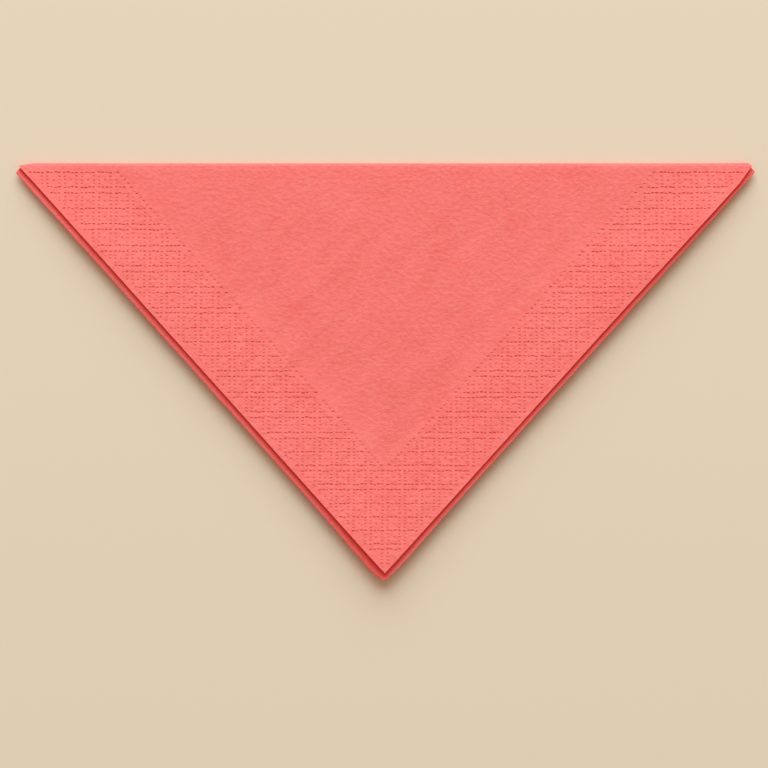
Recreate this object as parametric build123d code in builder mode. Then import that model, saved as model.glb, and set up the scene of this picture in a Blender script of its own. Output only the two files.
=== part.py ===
from build123d import *

import os
from math import cos, radians, sin

# A paper napkin, made from one square sheet. The sheet is folded in half, then in half again into a
# quarter, and the quarter is folded once more along its diagonal, so that it lies as a flat triangle
# of eight layers. The diagonal crease is the long side, at +Y, and the corner opposite points to -Y.
# Lengths are in millimetres. The napkin lies on Z = 0 under the middle of its outline.

# Driving dimensions
sheet_side = 330.0  # side of the sheet when it is opened out
corner_angle = 84.0  # angle at the napkin's point, between its two short sides
sheet_thickness = 0.28  # the plies of one layer, pressed together
layer_gap = 0.12  # air between two layers that lie on each other
half_gap = 0.60  # air between the lower four layers and the upper four
overhang = 2.05  # how far the lower half's creases stand out past the upper half's cut edges

# The quarter: a rhombus with its closed corner at the -Y end and its open corner at the +Y end
quarter_side = sheet_side / 2
half_angle = radians(corner_angle / 2)
right_leg = Vector(sin(half_angle), cos(half_angle), 0)
left_leg = Vector(-sin(half_angle), cos(half_angle), 0)

# The diagonal crease runs past the rhombus's own diagonal, towards the open corner, by this much.
# It is what leaves the lower half larger than the upper one.
crease_shift = overhang / (2 * sin(half_angle))
closed_corner = Vector(0, -quarter_side * cos(half_angle) - crease_shift, 0)

# Heights in the stack of four layers
layer_pitch = sheet_thickness + layer_gap
stack_height = 3 * layer_pitch + sheet_thickness
bend_height = layer_pitch + sheet_thickness

# The vertical plane through the closed corner and the left leg. Every layer is cut by it at a crease.
left_plane = Plane(origin=closed_corner, x_dir=left_leg, z_dir=left_leg.cross(Vector(0, 0, 1)))
away_from_left = Axis(closed_corner, left_plane.z_dir)
mid_stack = Plane.XY.offset(stack_height / 2)
left_crease = Axis(closed_corner + Vector(0, 0, stack_height / 2), left_leg)
diagonal_plane = Plane.XZ
diagonal_crease = Axis((0, 0, stack_height + half_gap / 2), (1, 0, 0))

# First fold: two layers joined by a round crease along the right leg. Their section is one end of a
# hollow slot. It is drawn in the left plane and pushed along the right leg.
with BuildPart() as layer_pair:
    with BuildSketch(left_plane):
        with Locations((quarter_side, bend_height / 2)):
            SlotCenterToCenter(2 * quarter_side, bend_height)
            SlotCenterToCenter(2 * quarter_side, layer_gap, mode=Mode.SUBTRACT)
        with Locations((quarter_side, 0)):
            Rectangle(
                2 * quarter_side,
                bend_height,
                align=(Align.MIN, Align.MIN),
                mode=Mode.SUBTRACT,
            )
    extrude(amount=quarter_side, dir=right_leg)

# Second fold: the same pair again, upside down on top of the first, with both creased round the left
# leg. The pair's own section, turned half a turn, makes the outer crease and the one nested in it.
with BuildPart() as quarter:
    add(layer_pair.part)
    mirror(about=mid_stack)
    creased_section = layer_pair.faces().filter_by(left_plane).sort_by(away_from_left)[0]
    revolve(creased_section, axis=left_crease, revolution_arc=-180)

# Third fold: the quarter is parted along the diagonal. The closed corner's half stays below, the open
# corner's half turns over onto it, and four nested creases join them.
with BuildPart() as closed_half:
    add(quarter.part)
    split(bisect_by=diagonal_plane, keep=Keep.TOP)

with BuildPart() as open_half:
    add(quarter.part)
    split(bisect_by=diagonal_plane, keep=Keep.BOTTOM)

with BuildPart() as folded:
    add(closed_half.part)
    add(open_half.part.rotate(diagonal_crease, 180))
    parted_sections = closed_half.faces().filter_by(Axis.Y).group_by(Axis.Y)[-1]
    revolve(parted_sections, axis=diagonal_crease, revolution_arc=180)

# The finished sheet, set down with the middle of its outline over the origin
outline = folded.part.bounding_box()
with BuildPart() as napkin:
    with Locations((-outline.center().X, -outline.center().Y, -outline.min.Z)):
        add(folded.part)

napkin.part.label = "napkin"
os.makedirs("parts", exist_ok=True)
export_step(napkin.part, "parts/napkin.step")
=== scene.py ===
"""A folded paper napkin, built around its construction model as one creased and embossed sheet."""

import random
from bisect import bisect
from math import atan, cos, exp, pi, radians, sin, sqrt

import bmesh
import bpy
from bpy.props import FloatProperty, FloatVectorProperty, IntProperty, PointerProperty
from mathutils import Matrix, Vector, noise


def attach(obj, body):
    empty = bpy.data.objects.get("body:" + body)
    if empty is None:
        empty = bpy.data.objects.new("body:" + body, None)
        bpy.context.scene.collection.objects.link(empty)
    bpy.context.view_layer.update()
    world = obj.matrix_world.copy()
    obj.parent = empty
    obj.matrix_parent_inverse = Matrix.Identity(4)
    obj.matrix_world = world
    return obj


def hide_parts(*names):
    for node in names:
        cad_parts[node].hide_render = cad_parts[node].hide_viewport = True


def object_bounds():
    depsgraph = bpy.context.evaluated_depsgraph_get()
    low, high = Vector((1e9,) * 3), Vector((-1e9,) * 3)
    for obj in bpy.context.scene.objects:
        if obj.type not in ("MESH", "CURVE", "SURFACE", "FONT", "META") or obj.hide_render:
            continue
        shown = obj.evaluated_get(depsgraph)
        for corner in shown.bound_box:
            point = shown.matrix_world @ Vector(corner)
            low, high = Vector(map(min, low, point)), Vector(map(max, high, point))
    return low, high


bl_info = {
    "name": "Folded paper napkin",
    "version": (1, 0, 0),
    "blender": (4, 5, 0),
    "location": "3D View > Sidebar > Napkin",
    "description": "Folds and embosses a tissue napkin and lays it on a pale table",
    "category": "Add Mesh",
}

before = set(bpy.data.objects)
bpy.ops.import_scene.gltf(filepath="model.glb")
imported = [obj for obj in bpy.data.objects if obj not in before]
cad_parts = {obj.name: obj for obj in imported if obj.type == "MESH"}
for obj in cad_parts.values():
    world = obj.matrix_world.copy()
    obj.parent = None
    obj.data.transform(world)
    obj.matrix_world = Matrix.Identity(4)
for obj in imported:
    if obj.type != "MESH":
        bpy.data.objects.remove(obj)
cad_low, cad_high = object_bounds()

MM = 0.001
SNAP = 0.000001  # two cuts nearer than this share their vertices
BOTH_WAYS = (Vector((1, 0, 0)), Vector((0, 1, 0)))  # along the flat sheet's two sides
SHARP_ANGLE = radians(42)  # an edge between faces that turn more than this is drawn sharp


# Sizes and colours

class NapkinFold(bpy.types.PropertyGroup):
    """Sizes of the sheet and of its three folds."""

    quarter_side: FloatProperty(
        name="Quarter side",
        description="Side of the sheet once it is folded in quarters",
        default=165 * MM,
        unit="LENGTH",
    )
    corner_angle: FloatProperty(
        name="Corner angle",
        description="Angle at the napkin's point",
        default=radians(84),
        subtype="ANGLE",
    )
    paper: FloatProperty(
        name="Paper",
        description="Thickness of one layer",
        default=0.28 * MM,
        unit="LENGTH",
    )
    layer_gap: FloatProperty(
        name="Layer gap",
        description="Air between two layers that lie on each other",
        default=0.12 * MM,
        unit="LENGTH",
    )
    half_gap: FloatProperty(
        name="Half gap",
        description="Air between the lower four layers and the upper four",
        default=0.6 * MM,
        unit="LENGTH",
    )
    overhang: FloatProperty(
        name="Overhang",
        description="How far the lower half's creases stand out past the upper half's cut edges",
        default=2.05 * MM,
        unit="LENGTH",
    )
    side_reach: FloatProperty(
        name="Side crease reach",
        description="Half of the paper that goes round each of the first two creases",
        default=0.3 * MM,
        unit="LENGTH",
    )
    long_reach: FloatProperty(
        name="Long crease reach",
        description="Half of the paper that goes round the diagonal crease",
        default=0.2 * MM,
        unit="LENGTH",
    )
    crease_steps: IntProperty(
        name="Crease steps",
        description="Strips of mesh across each crease",
        default=8,
        min=2,
    )
    mesh_step: FloatProperty(
        name="Mesh step",
        description="Distance between the mesh lines where the sheet is plain",
        default=3 * MM,
        unit="LENGTH",
    )
    fine_step: FloatProperty(
        name="Fine step",
        description="Distance between the mesh lines in the plain middle of the face that shows",
        default=1.6 * MM,
        unit="LENGTH",
    )
    crease_width: FloatProperty(
        name="Crease width",
        description="How far the diagonal crease stands out, as a share of a round one",
        default=0.6,
    )
    stagger: FloatProperty(
        name="Stagger",
        description="How far the cut edges of the layers below are short of the top one's",
        default=0.5 * MM,
        unit="LENGTH",
    )


class NapkinEmbossing(bpy.types.PropertyGroup):
    """The dotted border: small frames of dots along the cut edges, each with a dot in its middle."""

    border: FloatProperty(
        name="Border",
        description="Width of the embossed border",
        default=20.6 * MM,
        unit="LENGTH",
    )
    margin: FloatProperty(
        name="Margin",
        description="Plain paper between the dots and the cut edge",
        default=1.2 * MM,
        unit="LENGTH",
    )
    across_pitch: FloatProperty(
        name="Pitch across",
        description="Distance between two dots of a row",
        default=1.15 * MM,
        unit="LENGTH",
    )
    across_gap: FloatProperty(
        name="Gap across",
        description="Extra distance between two frames, side by side",
        default=0.5 * MM,
        unit="LENGTH",
    )
    along_pitch: FloatProperty(
        name="Pitch along",
        description="Distance between two rows of dots",
        default=1.1 * MM,
        unit="LENGTH",
    )
    along_gap: FloatProperty(
        name="Gap along",
        description="Extra distance between two frames, one above the other",
        default=0.55 * MM,
        unit="LENGTH",
    )
    along_spread: FloatProperty(
        name="Spread along",
        description="How uneven the rows are, as a share of their distances",
        default=0.1,
    )
    dot_width: FloatProperty(
        name="Dot width",
        description="Width of a dot at the paper's surface",
        default=0.96 * MM,
        unit="LENGTH",
    )
    dot_height: FloatProperty(
        name="Dot height",
        description="Height of a dot at the paper's surface",
        default=0.66 * MM,
        unit="LENGTH",
    )
    dot_depth: FloatProperty(
        name="Dot depth",
        description="How deep a dot is pressed into the paper",
        default=0.25 * MM,
        unit="LENGTH",
    )
    dot_wall: FloatProperty(
        name="Dot wall",
        description="Width of a dot's sloping wall",
        default=0.2 * MM,
        unit="LENGTH",
    )
    dot_spread: FloatProperty(
        name="Dot spread",
        description="How uneven the dots are in width and depth, as a share of each",
        default=0.35,
    )
    dot_shift: FloatProperty(
        name="Dot shift",
        description="How far a dot stands off its place in the frame",
        default=0.14 * MM,
        unit="LENGTH",
    )
    inner_room: FloatProperty(
        name="Inner room",
        description="Width of the paper inside the innermost dots that has the border's mesh",
        default=1.8 * MM,
        unit="LENGTH",
    )
    seed: IntProperty(name="Seed", description="Picks how uneven rows and dots fall", default=7)


class NapkinRest(bpy.types.PropertyGroup):
    """How the folded paper lies: what springs up, sinks and waves."""

    closing_reach: FloatProperty(
        name="Closing reach",
        description="Distance from the long crease at which the two halves meet",
        default=22 * MM,
        unit="LENGTH",
    )
    side_spring: FloatProperty(
        name="Side spring",
        description="How far the short sides stand off the table",
        default=2.8 * MM,
        unit="LENGTH",
    )
    side_reach: FloatProperty(
        name="Side reach",
        description="Distance from a short side at which the paper lies on the table",
        default=30 * MM,
        unit="LENGTH",
    )
    point_spring: FloatProperty(
        name="Point spring",
        description="How much more the point stands off the table",
        default=0.6 * MM,
        unit="LENGTH",
    )
    point_reach: FloatProperty(
        name="Point reach",
        description="Distance from the point at which it no longer springs up",
        default=24 * MM,
        unit="LENGTH",
    )
    part: FloatProperty(
        name="Part",
        description="How far the upper half stands off the lower one at the point",
        default=0.9 * MM,
        unit="LENGTH",
    )
    wave: FloatProperty(
        name="Wave",
        description="Height of the soft waves in the upper half",
        default=0.22 * MM,
        unit="LENGTH",
    )
    wave_length: FloatProperty(
        name="Wave length",
        description="Size of the soft waves",
        default=24 * MM,
        unit="LENGTH",
    )
    streak: FloatProperty(
        name="Streak",
        description="Height of the long slanting waves",
        default=0.21 * MM,
        unit="LENGTH",
    )
    streak_width: FloatProperty(
        name="Streak width",
        description="Width of the long slanting waves",
        default=3.2 * MM,
        unit="LENGTH",
    )
    streak_length: FloatProperty(
        name="Streak length",
        description="Length of the long slanting waves",
        default=24 * MM,
        unit="LENGTH",
    )
    ragged: FloatProperty(
        name="Ragged",
        description="How uneven the creases along the short sides are",
        default=0.16 * MM,
        unit="LENGTH",
    )
    blunt: FloatProperty(
        name="Blunt point",
        description="How far the closed corner is short of a sharp point",
        default=1.3 * MM,
        unit="LENGTH",
    )
    left_taper: FloatProperty(
        name="Left taper",
        description="Length over which the long crease thins out at its left end",
        default=6 * MM,
        unit="LENGTH",
    )
    right_cut: FloatProperty(
        name="Right cut",
        description="Length of the long crease that the blunt right corner leaves out",
        default=2.4 * MM,
        unit="LENGTH",
    )
    flatten: FloatProperty(
        name="Flatten",
        description="Thickness of the whole napkin once it has been pressed flat, as a share",
        default=0.8,
    )
    flatten_crease: FloatProperty(
        name="Flatten crease",
        description="Thickness of the long crease once it has been pressed flat, as a share",
        default=0.66,
    )
    squeeze: FloatProperty(
        name="Squeeze",
        description="How much thinner the upper half's layers lie than at the long crease",
        default=0.3,
    )
    lean: FloatProperty(
        name="Lean",
        description="How far the napkin is bent to the right between its point and its long side",
        default=0.5 * MM,
        unit="LENGTH",
    )
    flare: FloatProperty(
        name="Flare",
        description="How far the upper half is drawn out towards the right corner",
        default=0.75 * MM,
        unit="LENGTH",
    )
    tuck: FloatProperty(
        name="Tuck",
        description="How far the lower half's sides are drawn in",
        default=0.75 * MM,
        unit="LENGTH",
    )
    slip: FloatProperty(
        name="Slip",
        description="How far the upper half has slipped to the right",
        default=0.15 * MM,
        unit="LENGTH",
    )


class NapkinTissue(bpy.types.PropertyGroup):
    """Colours of the tissue, the painted shade in its dots, and the shade between its two halves."""

    colour: FloatVectorProperty(
        name="Colour",
        description="Colour of the tissue",
        subtype="COLOR",
        default=(0.905, 0.18, 0.163),
    )
    deep_colour: FloatVectorProperty(
        name="Deep colour",
        description="Colour of the tissue where its fibres lie thicker",
        subtype="COLOR",
        default=(0.87, 0.153, 0.137),
    )
    raised_colour: FloatVectorProperty(
        name="Raised colour",
        description="Colour of single fibres that stand up",
        subtype="COLOR",
        default=(0.93, 0.29, 0.262),
    )
    # Painted shade in the embossed dots, standing in for the shadow in their pits
    pit_shade_colour: FloatVectorProperty(
        name="Pressed colour",
        description="Colour of the tissue at the bottom of an embossed dot",
        subtype="COLOR",
        default=(0.64, 0.05, 0.042),
    )
    shade_colour: FloatVectorProperty(
        name="Shade colour",
        description="Colour of the lower half beside the cut edges, lit by red paper only",
        subtype="COLOR",
        default=(0.86, 0.062, 0.05),
    )
    shade_width: FloatProperty(
        name="Shade width",
        description="Width of that shade along the cut edges",
        default=1.9 * MM,
        unit="LENGTH",
    )


class NapkinStage(bpy.types.PropertyGroup):
    """The table, the light and the camera."""

    table_colour: FloatVectorProperty(
        name="Table colour",
        description="Colour of the table",
        subtype="COLOR",
        default=(0.738, 0.616, 0.463),
    )
    view_width: FloatProperty(
        name="View width",
        description="Width of the picture at the table",
        default=230.6 * MM,
        unit="LENGTH",
    )
    view_shift: FloatProperty(
        name="View shift",
        description="How far the middle of the picture is to the left of the napkin's",
        default=0.28 * MM,
        unit="LENGTH",
    )
    camera_height: FloatProperty(
        name="Camera height",
        description="Height of the camera over the table",
        default=0.9,
        unit="LENGTH",
    )
    light_height: FloatProperty(
        name="Light height",
        description="Angle of the main light over the table",
        default=radians(36),
        subtype="ANGLE",
    )
    light_distance: FloatProperty(
        name="Light distance",
        description="Distance of the main light from the napkin",
        default=3.0,
        unit="LENGTH",
    )
    light_width: FloatProperty(
        name="Light width",
        description="Width of the main light",
        default=3.0,
        unit="LENGTH",
    )
    light_length: FloatProperty(
        name="Light length",
        description="Length of the main light, from its lower to its upper side",
        default=2.8,
        unit="LENGTH",
    )
    light_energy: FloatProperty(
        name="Light energy",
        description="Strength of the main light",
        default=138.0,
        unit="POWER",
    )
    light_colour: FloatVectorProperty(
        name="Light colour",
        description="Colour of the main light",
        subtype="COLOR",
        default=(0.76, 0.92, 1.0),
    )
    fill: FloatProperty(
        name="Fill",
        description="Strength of the light from all round",
        default=0.5,
    )
    fill_colour: FloatVectorProperty(
        name="Fill colour",
        description="Colour of the light from all round",
        subtype="COLOR",
        default=(1.0, 0.76, 0.6),
    )


# The fold: where each point of the flat sheet goes

def ease(value, start, end):
    """Goes smoothly from 0 at the start to 1 at the end."""
    share = min(1.0, max(0.0, (value - start) / (end - start)))
    return share * share * (3 - 2 * share)


def nearness(place, corner, reach):
    """1 at a corner of the napkin, less further from it, and close to 0 at twice the reach."""
    return exp(-(((place - corner).xy.length / reach) ** 2))


class FoldPlan:
    """Bends the flat sheet round its three creases.

    The flat sheet lies in X and Y with its middle at the origin, and its outer face at z = 0.
    """

    trim_from = 0.8  # where the drawn-in edges begin, as a share of the sheet's half
    trim_mean = 0.6  # how much of the stagger the edges have
    trim_spread = 0.8  # and how much it varies along them
    trim_wave = 40 * MM
    trim_seed = 3.7  # each layer's edges are uneven in their own way

    def __init__(self, size):
        half_angle = size.corner_angle / 2
        self.rise = cos(half_angle)
        self.spread = sin(half_angle)
        self.paper = size.paper
        self.layer_pitch = size.paper + size.layer_gap
        self.stack = 3 * self.layer_pitch + size.paper
        self.first_axis = (self.layer_pitch + size.paper) / 2
        self.second_axis = self.stack / 2
        self.third_axis = self.stack + size.half_gap / 2
        self.side_reach = size.side_reach
        self.long_reach = size.long_reach
        self.crease_width = size.crease_width
        self.overhang = size.overhang
        self.stagger = size.stagger
        shift = size.overhang / (2 * self.spread)
        narrowed = self.third_axis * (1 - size.crease_width)
        # Along the diagonal, from the closed corner to the crease, and on to the open corner
        self.to_crease = size.quarter_side * self.rise + narrowed + shift + size.long_reach
        self.to_corner = size.quarter_side * self.rise + narrowed - shift + size.long_reach
        self.flat_half = (self.to_crease + self.to_corner) / (2 * self.rise) + size.side_reach
        self.crease_sum = self.to_crease / self.rise + 2 * size.side_reach
        self.crease_y = cad_high.y - self.third_axis * size.crease_width

    @staticmethod
    def bend(distance, z, reach, axis, width=1):
        """Turns a point past a crease over about it.

        Gives its distance from the crease, on the side that stays, and its height.
        """
        if distance <= -reach:
            return -distance - reach, z
        if distance >= reach:
            return distance - reach, 2 * axis - z
        turn = pi * (distance + reach) / (2 * reach)
        radius = axis - z
        return -radius * width * sin(turn), axis - radius * cos(turn)

    def trim(self, point):
        """Draws in the cut edges of every layer but the one that shows."""
        layer = (point.x < 0) + 2 * (point.y < 0)
        if layer == 0:
            return point
        trimmed = point.copy()
        for axis in (0, 1):
            at_edge = ease(abs(point[axis]), self.trim_from * self.flat_half, self.flat_half)
            spot = Vector((point[1 - axis] / self.trim_wave, self.trim_seed * layer, axis))
            uneven = self.trim_mean + self.trim_spread * noise.noise(spot)
            trimmed[axis] -= self.stagger * uneven * at_edge * (1 if point[axis] > 0 else -1)
        return trimmed

    def place(self, flat):
        """The place in the folded napkin of a point of the flat sheet."""
        point = self.trim(flat)
        v, z = self.bend(-point.y, point.z, self.side_reach, self.first_axis)
        u, z = self.bend(-point.x, z, self.side_reach, self.second_axis)
        along = (u + v) * self.rise - self.to_crease
        inside, z = self.bend(along, z, self.long_reach, self.third_axis, self.crease_width)
        return Vector(((u - v) * self.spread, self.crease_y - inside, z))


# Cutting the flat sheet

def parts_of(faces):
    """The faces with their edges and vertices, once each."""
    parts = {}
    for face in faces:
        parts[face] = None
        parts.update(dict.fromkeys(face.edges))
        parts.update(dict.fromkeys(face.verts))
    return list(parts)


def middle_of(face):
    """The mean place of a face's corners."""
    return face.calc_center_median()


def cut_lines(bm, faces, direction, places):
    """Cuts the faces square to a direction, at each distance along it, and gives all the faces.

    The middle cut comes first, and each half is then cut by itself.
    """
    if not places or not faces:
        return faces
    places = sorted(places)
    middle = len(places) // 2
    cut = bmesh.ops.bisect_plane(
        bm,
        geom=parts_of(faces),
        dist=SNAP,
        plane_co=direction * places[middle],
        plane_no=direction,
    )
    halves = ([], [])
    for part in cut["geom"]:
        if isinstance(part, bmesh.types.BMFace):
            halves[middle_of(part).dot(direction) > places[middle]].append(part)
    low = cut_lines(bm, halves[0], direction, places[:middle])
    return low + cut_lines(bm, halves[1], direction, places[middle + 1 :])


def steps(start, end, step):
    """Evenly spaced places between two ends, both left out."""
    count = max(1, round(abs(end - start) / step))
    return [start + (end - start) * i / count for i in range(1, count)]


def crease_places(middle, reach, count):
    """Places of the cuts across a crease, its two sides included."""
    return [middle + reach * (2 * i / count - 1) for i in range(count + 1)]


class FlatSheet:
    """The flat sheet, as a closed slab cut into its creases, plain parts and border."""

    def __init__(self, fold, emboss, plan):
        self.fold = fold
        self.emboss = emboss
        self.plan = plan
        self.bm = bmesh.new()
        side = 2 * plan.flat_half
        bmesh.ops.create_cube(self.bm, size=1)
        bmesh.ops.scale(self.bm, vec=(side, side, plan.paper), verts=self.bm.verts)
        bmesh.ops.translate(self.bm, vec=(0, 0, plan.paper / 2), verts=self.bm.verts)
        self.border = self.bm.faces.layers.int.new("border")
        # Where the innermost dots stand, and where the border's mesh ends
        self.inner = plan.flat_half - emboss.border / (2 * plan.rise * plan.spread)
        self.mesh_inner = self.inner - emboss.inner_room

    def find(self, test):
        """The faces whose middles pass a test."""
        return [face for face in self.bm.faces if test(middle_of(face))]

    def cut_side_creases(self):
        """The first two creases cross at the middle of the sheet."""
        places = crease_places(0, self.plan.side_reach, self.fold.crease_steps)
        for direction in BOTH_WAYS:
            cut_lines(self.bm, self.bm.faces, direction, places)

    def cut_quadrant(self, sign_x, sign_y):
        """The diagonal crease of one quadrant, then its plain mesh on both sides of it."""
        bm, plan, step = self.bm, self.plan, self.fold.mesh_step
        outward = Vector((sign_x, sign_y, 0)).normalized()
        sideways = Vector((sign_x, -sign_y, 0)).normalized()
        crease = plan.crease_sum / sqrt(2)
        reach = plan.long_reach / plan.rise / sqrt(2)
        corner = plan.flat_half * sqrt(2)

        def here(place):
            return place.x * sign_x > 0 and place.y * sign_y > 0

        def here_and_out(place):
            return here(place) and place.dot(outward) > crease - reach

        quadrant = self.find(here)
        cut_lines(bm, quadrant, outward, crease_places(crease, reach, self.fold.crease_steps))
        outer = self.find(here_and_out)
        triangle = [face for face in outer if middle_of(face).dot(outward) > crease + reach]
        if sign_x > 0 and sign_y > 0:
            step = self.fold.fine_step
            self.cut_border(triangle)
            outer = [face for face in self.find(here_and_out) if not face[self.border]]
        outer = cut_lines(bm, outer, sideways, steps(-corner, corner, step))
        triangle = [face for face in outer if middle_of(face).dot(outward) > crease + reach]
        cut_lines(bm, triangle, outward, steps(crease + reach, corner, step))

    def cut_border(self, triangle):
        """Parts the border from the plain middle on the face that shows."""
        top = [face for face in triangle if middle_of(face).z < SNAP]
        for direction in BOTH_WAYS:
            top = cut_lines(self.bm, top, direction, [self.mesh_inner])
        for face in top:
            face[self.border] = max(middle_of(face).xy) > self.mesh_inner
        # The corner is joined to both arms again, so that no line crosses its dots
        joints = dict.fromkeys(
            edge
            for face in top
            for edge in face.edges
            if min((edge.verts[0].co + edge.verts[1].co).xy) / 2 > self.mesh_inner - SNAP
            and all(other in top for other in edge.link_faces)
        )
        bmesh.ops.dissolve_edges(self.bm, edges=list(joints), use_verts=True)

    def cut_inner(self):
        """Square mesh in the half that stays below."""
        plan, reach = self.plan, self.plan.long_reach / self.plan.rise
        places = steps(-plan.flat_half, plan.flat_half, self.fold.mesh_step)
        places = [place for place in places if abs(place) > 2 * plan.side_reach]
        inner = self.find(lambda place: abs(place.x) + abs(place.y) < plan.crease_sum - reach)
        for direction in BOTH_WAYS:
            inner = cut_lines(self.bm, inner, direction, places)


# Embossing

FRAME_COLUMNS = 4
FRAME_ROWS = 5
OUTER_COLUMNS = (0, FRAME_COLUMNS - 1)
OUTER_ROWS = (0, FRAME_ROWS - 1)
GAP_SPREAD = (0.6, 1.6)  # least and most of the gap between two frames along the border


def column_lines(emboss, end):
    """Places of the mesh lines across the border, and each column's place in a frame."""
    lines, columns = [emboss.across_gap / 2], []
    while lines[-1] < end:
        for column in range(FRAME_COLUMNS):
            lines.append(lines[-1] + emboss.across_pitch)
            columns.append(column)
        lines.append(lines[-1] + emboss.across_gap)
        columns.append(None)
    left = [-line for line in reversed(lines)]
    return left + lines, list(reversed(columns)) + [None] + columns


def row_lines(emboss, start, end, chance):
    """Places of the mesh lines along the border, and each row's place in a frame."""
    lines, rows = [start], []
    first = 0
    while lines[-1] < end:
        pitch = emboss.along_pitch * (1 + chance.uniform(-1, 1) * emboss.along_spread)
        for row in range(first, FRAME_ROWS):
            lines.append(lines[-1] + pitch)
            rows.append(row)
        # One frame in three shares its first row with the last one of the frame before
        first = chance.choice((0, 0, 1))
        if first == 0:
            lines.append(lines[-1] + emboss.along_gap * chance.uniform(*GAP_SPREAD))
            rows.append(None)
    return lines, rows


def cell_of(lines, place):
    """Number of the cell that a place lies in, or None outside them all."""
    if not lines[0] < place < lines[-1]:
        return None
    return bisect(lines, place) - 1


class DottedBorder:
    """The dots pressed into the border of the face that shows."""

    outward = Vector((1, 1, 0)).normalized()
    sideways = Vector((1, -1, 0)).normalized()
    whole_share = 0.97  # a cell with less of its area than this is cut short by the border's edge
    side_room = 0.08 * MM  # paper beside a dot on the border's inner line
    next_dot = 1.8  # from its middle to the next dot, in halves of its width
    least_covered = 1.99  # how much of that dot has cells under it, in the same halves
    outline = 0.05 * MM  # paper between a dot and the edge of its cell
    outer_width = 1.06  # dots of a frame's first and last row, as a share of the dot's width
    inner_width = 0.86  # dots of the rows between
    width_spread = (-0.7, 0.1)
    height_spread = (-0.4, 0.4)
    outer_depth = 1.05
    inner_depth = 0.8
    depth_spread = (-0.8, 0)
    lit_wall = 0.1  # how much of the painted pit shade the wall that faces the light has

    def __init__(self, sheet):
        plan, emboss = sheet.plan, sheet.emboss
        self.sheet = sheet
        self.emboss = emboss
        self.chance = random.Random(emboss.seed)
        # A length in the folded napkin, on the flat sheet
        self.along_scale = 1 / (plan.rise * sqrt(2))
        self.across_scale = 1 / (plan.spread * sqrt(2))
        corner = plan.flat_half * sqrt(2)
        self.start = (plan.crease_sum + plan.long_reach / plan.rise) / sqrt(2)
        length = (corner - self.start) / self.along_scale
        column_edges, self.columns = column_lines(emboss, corner / self.across_scale)
        self.column_edges = [edge * self.across_scale for edge in column_edges]
        row_edges, rows = row_lines(emboss, 2 * emboss.margin, length, self.chance)
        self.row_edges = [corner - edge * self.along_scale for edge in reversed(row_edges)]
        self.rows = rows[::-1]
        self.first_dots = {}

    def cut(self):
        """Cuts the border into cells. Gives the whole ones by column, for each row and side."""
        bm, sheet = self.sheet.bm, self.sheet
        border = [face for face in bm.faces if face[sheet.border]]
        border = cut_lines(bm, border, self.sideways, self.column_edges)
        cut_lines(bm, border, self.outward, [edge for edge in self.row_edges if edge > self.start])
        margin = self.emboss.margin / (2 * sheet.plan.rise * sheet.plan.spread)
        cells = {}
        for face in bm.faces:
            place = middle_of(face)
            if not face[sheet.border] or max(place.x, place.y) > sheet.plan.flat_half - margin:
                continue
            column = cell_of(self.column_edges, place.dot(self.sideways))
            row = cell_of(self.row_edges, place.dot(self.outward))
            if column is None or row is None or self.rows[row] is None:
                continue
            width = self.column_edges[column + 1] - self.column_edges[column]
            height = self.row_edges[row + 1] - self.row_edges[row]
            if face.calc_area() > self.whole_share * width * height:
                side = 1 if place.dot(self.sideways) > 0 else -1
                cells.setdefault((row, side), {})[column] = face
        return cells

    def reach(self, column, side):
        """How near to the middle a column begins, and how far out it ends."""
        return sorted(side * edge for edge in self.column_edges[column : column + 2])

    def pick(self, cells):
        """The faces that become dots. Each row begins with one on the border's inner line."""
        half = (self.emboss.dot_width / 2 + self.side_room) * self.across_scale
        dots, joined = [], ([], [], [])
        for (row, side), line in cells.items():
            first = self.sheet.inner * sqrt(2) - (self.row_edges[row] + self.row_edges[row + 1]) / 2
            clear = 0
            if first > half:
                clear = first + self.next_dot * half
                group, covered = [], 0
                for column, face in line.items():
                    near, far = self.reach(column, side)
                    overlap = min(far, first + half) - max(near, first - half)
                    if overlap > 0:
                        group.append(face)
                        covered += overlap
                if covered > self.least_covered * half:
                    self.first_dots[row, side] = side * first
                    joined[row % 2].extend(group)
            for column, face in line.items():
                place = self.columns[column]
                if place is None or self.reach(column, side)[0] < clear:
                    continue
                if self.rows[row] in OUTER_ROWS or place in OUTER_COLUMNS:
                    dots.append(face)
                elif self.rows[row] == 2 and place == 1:
                    # The dot in the middle of a frame takes both of its inner columns
                    other = next(n for n in (column - 1, column + 1) if self.columns[n] == 2)
                    if other in line:
                        joined[2].extend((face, line[other]))
        # Faces that touch would become one, so neighbours are joined in turn
        for faces in joined:
            dots += bmesh.ops.dissolve_faces(self.sheet.bm, faces=faces)["region"]
        return dots

    def press(self, dots):
        """Makes each face a dot: its outline, then a sloping wall and a floor."""
        bm, emboss, chance = self.sheet.bm, self.emboss, self.chance
        spread = emboss.dot_spread
        dots = sorted(dots, key=lambda face: middle_of(face)[:])
        bmesh.ops.inset_individual(bm, faces=dots, thickness=self.outline, depth=0)
        for face in dots:
            spots = [(vert.co.dot(self.sideways), vert.co.dot(self.outward)) for vert in face.verts]
            low = [min(spot[i] for spot in spots) for i in (0, 1)]
            high = [max(spot[i] for spot in spots) for i in (0, 1)]
            middle = [(low[i] + high[i]) / 2 for i in (0, 1)]
            row = cell_of(self.row_edges, middle[1])
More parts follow.
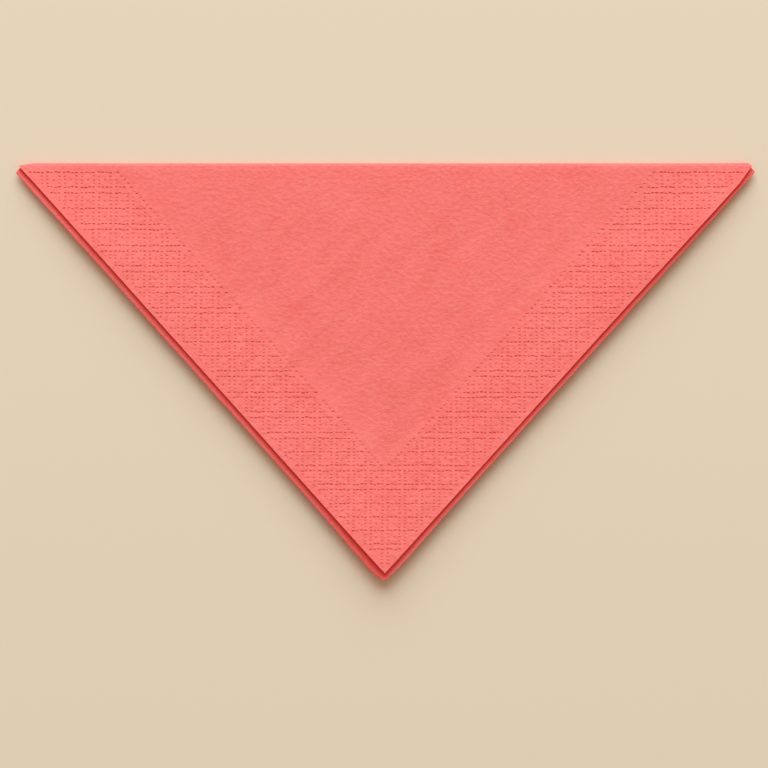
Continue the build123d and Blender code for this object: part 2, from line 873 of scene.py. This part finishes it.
            # The dots of a frame's first and last row are wider, and nearly touch
            share = self.outer_width if self.rows[row] in OUTER_ROWS else self.inner_width
            width = share * emboss.dot_width * self.across_scale
            height = emboss.dot_height * self.along_scale
            size = [
                width * (1 + spread * chance.uniform(*self.width_spread)),
                height * (1 + spread * chance.uniform(*self.height_spread)),
            ]
            target = [middle[i] + emboss.dot_shift * chance.uniform(-1, 1) for i in (0, 1)]
            first = self.first_dots.get((row, 1 if middle[0] > 0 else -1), 0)
            if low[0] < first < high[0]:
                target[0] = first
            for i in (0, 1):
                room = max(0, (high[i] - low[i] - size[i]) / 2)
                target[i] = middle[i] + max(-room, min(room, target[i] - middle[i]))
            for vert, spot in zip(face.verts, spots):
                moved = [
                    target[i] + (spot[i] - middle[i]) * size[i] / (high[i] - low[i])
                    for i in (0, 1)
                ]
                across, along = (moved[i] - spot[i] for i in (0, 1))
                vert.co += self.sideways * across + self.outward * along
        bmesh.ops.inset_individual(
            bm,
            faces=dots,
            thickness=emboss.dot_wall,
            depth=-emboss.dot_depth,
        )
        # This attribute holds painted shade: how much of the dark pit colour each floor corner takes
        pressed = bm.verts.layers.float.new("pressed")
        for face in dots:
            middle = middle_of(face).dot(self.outward)
            outer = self.rows[cell_of(self.row_edges, middle)] in OUTER_ROWS
            share = self.outer_depth if outer else self.inner_depth
            share *= 1 + spread * chance.uniform(*self.depth_spread)
            for vert in face.verts:
                vert.co.z *= share
                # Painted shade: the wall on the long crease's side, turned away from the light, is
                # the deeper one in colour
                lit = vert.co.dot(self.outward) >= middle
                vert[pressed] = self.lit_wall * share if lit else share


# Soft shape: what the folded paper does by itself

class SoftPaper:
    """Settles the folded sheet.

    The upper half sinks onto the lower one, and both spring up along the short sides.
    """

    spring_from = 2 * MM  # outside the lower half's sides
    end_lift = 0.5  # how fast the long crease lifts towards its ends
    part_share = 0.3  # of the parting at the point, left everywhere
    part_turn = 20 * MM  # the parting lessens to the right, over twice this
    gap_loss = 0.85  # of the gap at the long crease, lost where the halves meet
    ragged_edge = 3 * MM
    ragged_wave = 5 * MM
    fine_wave = 1.3 * MM
    fine_share = 0.7
    flat_from = 20 * MM  # the long crease's own flattening ends here
    lean_top = 0.75  # share of the height that is bent
    lean_middle = 0.4  # share of the height that stays in its place
    corner_slope = 0.8  # height of the right corner's cut, as a share of its length
    corner_share = 0.92
    flare_from = 60 * MM
    flare_to = 118 * MM
    shift_from = 6 * MM
    elsewhere = -10 * MM
    shade_point = 24 * MM  # the shade is wider on the left, this near the point
    shade_turn = 2 * MM
    tuck_edge = 8 * MM
    tuck_point = 22 * MM
    tuck_loss = 0.8  # of the tuck, lost at the point
    tuck_right = 0.9
    tuck_left = -1.15
    roll_loss = 0.85  # of the long crease's roundness, lost at its left end

    def __init__(self, rest, plan):
        self.rest = rest
        self.plan = plan
        self.open_corner = Vector((0, plan.crease_y - plan.to_corner, 0))
        self.closed_corner = Vector((0, plan.crease_y - plan.to_crease, 0))
        self.half_width = plan.to_corner * plan.spread / plan.rise

    def uneven(self, place, size, seed):
        """A value that wanders from place to place, about once in each size."""
        return noise.noise(Vector((place.x / size, place.y / size, seed)))

    def streak(self, place):
        """Long soft waves that run from lower left to upper right."""
        rest = self.rest
        along = (place.x + place.y) / sqrt(2)
        across = (place.x - place.y) / sqrt(2)
        return noise.noise(Vector((across / rest.streak_width, along / rest.streak_length, 5.3)))

    def from_side(self, place):
        """Distance to the nearer of the lower half's short sides, less than 0 outside it."""
        up = place.y - self.closed_corner.y
        return up * self.plan.spread - abs(place.x) * self.plan.rise

    def spring(self, place, inside):
        """How far the short sides and the point stand off the table."""
        rest = self.rest
        side = 1 - ease(self.from_side(place), -self.spring_from, rest.side_reach)
        near = nearness(place, self.open_corner, rest.point_reach)
        past_end = max(0, abs(place.x) - self.half_width + rest.side_reach)
        lift = ease(inside + self.end_lift * past_end, 0, rest.side_reach)
        return (rest.side_spring * side + rest.point_spring * near) * lift

    def part(self, place):
        """How far the upper half stands off the lower one, most at the point and on the left."""
        rest = self.rest
        near = nearness(place, self.open_corner, rest.point_reach)
        lean = 1 - 0.5 * ease(place.x, -self.part_turn, self.part_turn)
        return rest.part * (self.part_share + near) * lean

    def settle(self, folded):
        """Where a point of the folded sheet comes to rest."""
        rest, plan = self.rest, self.plan
        place = folded.copy()
        half_gap = 2 * (plan.third_axis - plan.stack)
        inside = plan.crease_y - folded.y
        if inside > 0 and folded.z > plan.third_axis:
            closing = ease(inside, 0, rest.closing_reach)
            above = folded.z - plan.stack - half_gap
            wave = rest.wave * (0.5 + self.uneven(folded, rest.wave_length, 0.4))
            wave += rest.streak * (0.5 + self.streak(folded))
            gap = half_gap * (1 - self.gap_loss * closing) + (wave + self.part(folded)) * closing
            place.z = plan.stack + gap + above * (1 - rest.squeeze * closing)
            place.x += self.upper_shift(folded)
        elif inside > 0:
            edge = 1 - ease(self.from_side(folded), 0, self.ragged_edge)
            ragged = self.uneven(folded, self.ragged_wave, 2.2)
            ragged += self.fine_share * self.uneven(folded, self.fine_wave, 6.1)
            place.x += rest.ragged * edge * ragged * (1 if folded.x > 0 else -1)
        else:
            place.y = plan.crease_y - inside * self.roll_share(folded.x)
        below = 1 - ease(folded.z, plan.stack, plan.stack + half_gap)
        place.x -= rest.tuck * below * self.tucked(folded)
        height = min(self.lean_top, (folded.y - self.closed_corner.y) / plan.to_crease)
        place.x += rest.lean * (height - self.lean_middle)
        # The right corner is cut off on a slant
        end = self.half_width + plan.overhang * 0.5
        corner = 1 - (end - place.x) / rest.right_cut
        corner -= (cad_high.y - place.y) / (self.corner_slope * rest.right_cut)
        place.x -= self.corner_share * rest.right_cut * max(0, corner)
        crease, plain = rest.flatten_crease, rest.flatten
        thickness = crease + (plain - crease) * ease(inside, 0, self.flat_from)
        place.z = place.z * thickness + self.spring(folded, max(0, inside))
        # The closed corner is rounded off
        from_tip = (place - self.closed_corner).y
        place.y = self.closed_corner.y + sqrt(from_tip * from_tip + rest.blunt * rest.blunt)
        return place

    def upper_shift(self, place):
        """How far the upper half has gone to the right here."""
        rest = self.rest
        flare = ease(place.x, self.flare_from, self.flare_to)
        clear = ease(self.plan.crease_y - place.y, 0, self.shift_from)
        return (rest.slip + rest.flare * flare) * clear

    def past_upper(self, folded):
        """How far past the upper half's cut edge a place in the lower half lies.

        It is less than 0 under the upper half, and well below 0 in the upper half itself.
        """
        plan = self.plan
        if folded.z > plan.third_axis or folded.y > plan.crease_y:
            return self.elsewhere
        x = folded.x - self.rest.tuck * self.tucked(folded) - self.upper_shift(folded)
        up = folded.y - self.open_corner.y - plan.long_reach
        near = nearness(folded, self.closed_corner, self.shade_point)
        wider = 1 + near * ease(-x, -self.shade_turn, self.shade_turn)
        return (abs(x) * plan.rise - up * plan.spread) / wider

    def tucked(self, place):
        """How much the lower half is drawn in here.

        It is drawn in at its sides, a little more on the left, and hardly at the point.
        """
        edge = 1 - ease(self.from_side(place), 0, self.tuck_edge)
        near = nearness(place, self.closed_corner, self.tuck_point)
        side = self.tuck_right if place.x > 0 else self.tuck_left
        return edge * (1 - self.tuck_loss * near) * side

    def roll_share(self, x):
        """How much of the long crease's roundness is left near its left end."""
        taper = self.rest.left_taper
        return 1 - self.roll_loss * min(1, max(0, (-x - self.half_width + taper) / taper)) ** 2


# Materials

def new_material(name, finish):
    """A material with a finish that is the same all over, its nodes, its links and its shader."""
    material = bpy.data.materials.new(name)
    material.use_nodes = True
    nodes = material.node_tree.nodes
    shader = nodes["Principled BSDF"]
    for socket, value in finish.items():
        shader.inputs[socket].default_value = value
    return material, nodes, material.node_tree.links, shader


def noise_node(nodes, links, vector, scale, detail, roughness):
    """Noise at a number of bumps to the metre, with finer bumps on them."""
    node = nodes.new("ShaderNodeTexNoise")
    node.inputs["Scale"].default_value = scale
    node.inputs["Detail"].default_value = detail
    node.inputs["Roughness"].default_value = roughness
    links.new(vector, node.inputs["Vector"])
    return node.outputs["Fac"]


def mix_colours(nodes, links, factor, first, second, share=1):
    """Mixes two colours by a mask, or by a share of it."""
    node = nodes.new("ShaderNodeMix")
    node.data_type = "RGBA"
    if share != 1:
        factor = math_node(nodes, links, "MULTIPLY", factor, share)
    links.new(factor, node.inputs["Factor"])
    for socket, value in ((node.inputs["A"], first), (node.inputs["B"], second)):
        if isinstance(value, bpy.types.NodeSocket):
            links.new(value, socket)
        else:
            socket.default_value = (*value, 1)
    return node.outputs["Result"]


def ramp(nodes, links, value, low, high):
    """A mask that goes from 0 to 1 between two values."""
    node = nodes.new("ShaderNodeMapRange")
    node.inputs["From Min"].default_value = low
    node.inputs["From Max"].default_value = high
    links.new(value, node.inputs["Value"])
    return node.outputs["Result"]


def math_node(nodes, links, operation, first, second):
    """Works out one value from two, each a number or another node's output."""
    node = nodes.new("ShaderNodeMath")
    node.operation = operation
    for socket, value in zip(node.inputs, (first, second)):
        if isinstance(value, bpy.types.NodeSocket):
            links.new(value, socket)
        else:
            socket.default_value = value
    return node.outputs["Value"]


def beside_upper_half(nodes, links, tissue):
    """A mask of painted shade on the strip just outside the upper half's cut edges, fading away from
    them.
    """
    outside = nodes.new("ShaderNodeAttribute")
    outside.attribute_name = "past_upper"
    shade = ramp(nodes, links, outside.outputs["Fac"], low=tissue.shade_width, high=0.0)
    # It runs on a little way under the edge
    under = math_node(nodes, links, "GREATER_THAN", outside.outputs["Fac"], -0.3 * MM)
    return math_node(nodes, links, "MULTIPLY", shade, under)


def tissue_material(tissue):
    """Soft dyed tissue: mottled by its fibres, with painted shade in its dots and beside the upper
    half's cut edges.
    """
    finish = {
        "Roughness": 0.92,
        "Specular IOR Level": 0.1,
        "Sheen Weight": 0.08,
        "Sheen Roughness": 0.5,
        "Sheen Tint": (1.0, 0.3, 0.25, 1),
        "Subsurface Weight": 0.06,
        "Subsurface Radius": (1.0, 0.2, 0.15),
        "Subsurface Scale": 0.4 * MM,
    }
    material, nodes, links, shader = new_material("coral_tissue", finish)
    place = nodes.new("ShaderNodeTexCoord").outputs["Object"]
    lying = nodes.new("ShaderNodeMapping")
    lying.inputs["Scale"].default_value = (0.75, 1.0, 1.0)
    links.new(place, lying.inputs["Vector"])
    fibres = noise_node(nodes, links, lying.outputs["Vector"], scale=900, detail=3, roughness=0.65)
    patches = noise_node(nodes, links, place, scale=90, detail=4, roughness=0.6)
    mottle = ramp(nodes, links, patches, low=0.35, high=0.7)
    colour = mix_colours(nodes, links, mottle, tissue.colour, tissue.deep_colour)
    raised = ramp(nodes, links, fibres, low=0.35, high=0.65)
    colour = mix_colours(nodes, links, raised, colour, tissue.raised_colour, share=0.3)
    # Painted shade in the dots, deepest on the wall turned away from the light
    attribute = nodes.new("ShaderNodeAttribute")
    attribute.attribute_name = "pressed"
    colour = mix_colours(nodes, links, attribute.outputs["Fac"], colour, tissue.pit_shade_colour)
    shade = beside_upper_half(nodes, links, tissue)
    colour = mix_colours(nodes, links, shade, colour, tissue.shade_colour)
    links.new(colour, shader.inputs["Base Color"])
    bump = nodes.new("ShaderNodeBump")
    bump.inputs["Strength"].default_value = 1.0
    bump.inputs["Distance"].default_value = 0.3 * MM
    links.new(fibres, bump.inputs["Height"])
    links.new(bump.outputs["Normal"], shader.inputs["Normal"])
    return material


def table_material(stage):
    """A plain matt table top."""
    finish = {
        "Base Color": (*stage.table_colour, 1),
        "Roughness": 0.85,
        "Specular IOR Level": 0.2,
    }
    return new_material("pale_table", finish)[0]


# Operators

TABLE_HALF = 3.0  # half of the table's side, in metres
TABLE_GAP = 0.02 * MM  # keeps the table just clear of the paper
VIEW_MIDDLE = 66.2 * MM  # from the long crease to the middle of the picture


def add_object(scene, name, data):
    """An object in the scene, at the origin."""
    item = bpy.data.objects.new(name, data)
    scene.collection.objects.link(item)
    return item


def add_mesh(scene, name, bm, material):
    """An object in the scene with a finished mesh and its material."""
    mesh = bpy.data.meshes.new(name)
    bm.to_mesh(mesh)
    bm.free()
    mesh.materials.append(material)
    return add_object(scene, name, mesh)


class NAPKIN_OT_fold_sheet(bpy.types.Operator):
    """Fold the napkin from one flat embossed sheet"""

    bl_idname = "napkin.fold_sheet"
    bl_label = "Fold sheet"

    def execute(self, context):
        scene, fold = context.scene, context.scene.napkin_fold
        plan = FoldPlan(fold)
        soft = SoftPaper(scene.napkin_rest, plan)
        sheet = FlatSheet(fold, scene.napkin_embossing, plan)
        sheet.cut_side_creases()
        for sign_x, sign_y in ((1, 1), (1, -1), (-1, -1), (-1, 1)):
            sheet.cut_quadrant(sign_x, sign_y)
        sheet.cut_inner()
        border = DottedBorder(sheet)
        border.press(border.pick(border.cut()))
        bm = sheet.bm
        layer = bm.loops.layers.uv.new("sheet")
        for face in bm.faces:
            for loop in face.loops:
                loop[layer].uv = loop.vert.co.xy / (2 * plan.flat_half) + Vector((0.5, 0.5))
        outside = bm.verts.layers.float.new("past_upper")
        for vert in bm.verts:
            folded = plan.place(vert.co)
            vert[outside] = soft.past_upper(folded)
            vert.co = soft.settle(folded)
        napkin = add_mesh(scene, "folded_napkin", bm, tissue_material(scene.napkin_tissue))
        napkin.data.shade_smooth()
        napkin.data.set_sharp_from_angle(angle=SHARP_ANGLE)
        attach(napkin, "root")
        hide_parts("napkin")
        return {"FINISHED"}


class NAPKIN_OT_lay_stage(bpy.types.Operator):
    """Make the table, the soft light and the camera"""

    bl_idname = "napkin.lay_stage"
    bl_label = "Lay stage"

    def execute(self, context):
        scene, stage = context.scene, context.scene.napkin_stage
        bm = bmesh.new()
        bmesh.ops.create_grid(bm, x_segments=1, y_segments=1, size=TABLE_HALF)
        bmesh.ops.translate(bm, vec=(0, 0, -TABLE_GAP), verts=bm.verts)
        add_mesh(scene, "table", bm, table_material(stage))

        centre = Vector((-stage.view_shift, cad_high.y - VIEW_MIDDLE, 0))
        camera_data = bpy.data.cameras.new("camera")
        camera_data.angle = 2 * atan(stage.view_width / 2 / stage.camera_height)
        camera = add_object(scene, "camera", camera_data)
        camera.location = centre + Vector((0, 0, stage.camera_height))
        scene.camera = camera

        light_data = bpy.data.lights.new("window", "AREA")
        light_data.shape = "RECTANGLE"
        light_data.size = stage.light_width
        light_data.size_y = stage.light_length
        light_data.color = stage.light_colour
        light_data.energy = stage.light_energy
        light = add_object(scene, "window", light_data)
        away = Vector((0, cos(stage.light_height), sin(stage.light_height)))
        light.location = centre + away * stage.light_distance
        light.rotation_euler = away.to_track_quat("Z", "Y").to_euler()

        world = bpy.data.worlds.new("soft_room")
        world.use_nodes = True
        background = world.node_tree.nodes["Background"]
        background.inputs["Color"].default_value = (*stage.fill_colour, 1)
        background.inputs["Strength"].default_value = stage.fill
        scene.world = world
        scene.view_settings.view_transform = "Standard"
        return {"FINISHED"}


class NAPKIN_PT_sidebar(bpy.types.Panel):
    """Buttons and sizes of the folded napkin"""

    bl_label = "Napkin"
    bl_idname = "NAPKIN_PT_sidebar"
    bl_space_type = "VIEW_3D"
    bl_region_type = "UI"
    bl_category = "Napkin"

    def draw(self, context):
        layout = self.layout
        for operator in (NAPKIN_OT_fold_sheet, NAPKIN_OT_lay_stage):
            layout.operator(operator.bl_idname)
        for name, (group, _) in SETTINGS.items():
            box = layout.box()
            for key in group.__annotations__:
                box.prop(getattr(context.scene, name), key)


SETTINGS = {
    "napkin_fold": (NapkinFold, "Fold"),
    "napkin_embossing": (NapkinEmbossing, "Embossing"),
    "napkin_rest": (NapkinRest, "Rest"),
    "napkin_tissue": (NapkinTissue, "Tissue"),
    "napkin_stage": (NapkinStage, "Stage"),
}
CLASSES = (NAPKIN_OT_fold_sheet, NAPKIN_OT_lay_stage, NAPKIN_PT_sidebar)


def register():
    for name, (group, title) in SETTINGS.items():
        bpy.utils.register_class(group)
        setattr(bpy.types.Scene, name, PointerProperty(type=group, name=title))
    for cls in CLASSES:
        bpy.utils.register_class(cls)


def unregister():
    for cls in reversed(CLASSES):
        bpy.utils.unregister_class(cls)
    for name, (group, _) in SETTINGS.items():
        delattr(bpy.types.Scene, name)
        bpy.utils.unregister_class(group)


def main():
    """Builds the napkin and its stage."""
    register()
    bpy.ops.napkin.fold_sheet()
    bpy.ops.napkin.lay_stage()


if __name__ == "__main__":
    main()
